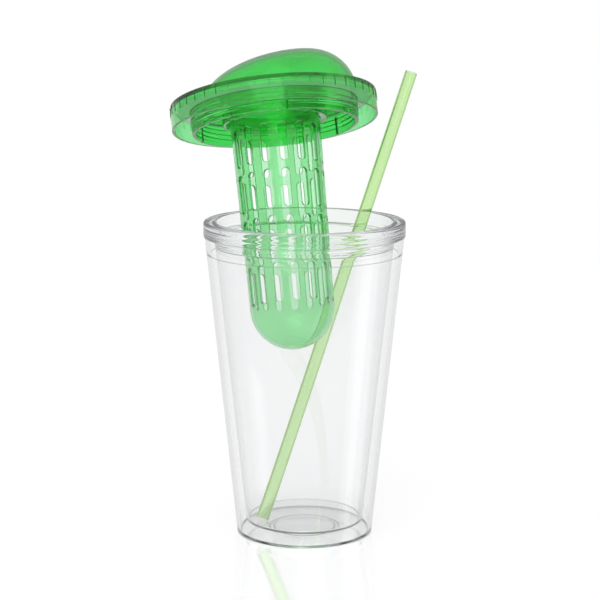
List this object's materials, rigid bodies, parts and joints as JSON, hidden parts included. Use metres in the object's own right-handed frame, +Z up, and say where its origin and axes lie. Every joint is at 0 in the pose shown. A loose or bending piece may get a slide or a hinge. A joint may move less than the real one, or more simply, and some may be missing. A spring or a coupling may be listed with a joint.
{
  "type": "infuser tumbler",
  "caption": "Clear double-walled tumbler with a domed green screw lid lifted off, a slotted infuser tube hanging from it and a leaning straw.",
  "frame": {"origin": "centre of the cup's flat underside", "axes": "+Z up along the cup's axis, +X to the right in the picture, +Y to the back"},
  "size_m": [0.1254, 0.1291, 0.2414],
  "materials": {
    "clear_plastic": "clear gloss",
    "green_plastic": "translucent gloss",
    "pale_green_plastic": "translucent gloss",
    "silicone": "satin",
    "straw_plastic": "translucent gloss"
  },
  "bodies": {
    "cup": {"outer_cup": "clear_plastic", "inner_cup": "clear_plastic"},
    "seal": {"lid_gasket": "silicone"},
    "lid": {"lid_cover": "green_plastic", "lid_plug": "green_plastic", "straw_grommet": "silicone"},
    "infuser": {"infuser_basket": "pale_green_plastic"},
    "drinking_straw": {"straw": "straw_plastic"}
  },
  "joints": [
    {"name": "lid_lift", "type": "slide", "parent": "cup", "child": "seal", "axis": [-0.0928, 0.3082, 0.9468], "range_m": [0, 0.12]},
    {"name": "lid_turn", "type": "hinge", "parent": "seal", "child": "lid", "pos_m": [-0.0147, 0.0257, 0.2032], "axis": [-0.0928, 0.3082, 0.9468], "continuous": true},
    {"name": "infuser_turn", "type": "hinge", "parent": "lid", "child": "infuser", "pos_m": [-0.0147, 0.0257, 0.2032], "axis": [-0.0928, 0.3082, 0.9468], "range_deg": [0, 60]},
    {"name": "straw_slide", "type": "slide", "parent": "cup", "child": "drinking_straw", "axis": [0.3166, 0.2176, 0.9233], "range_m": [0, 0.2]}
  ]
}
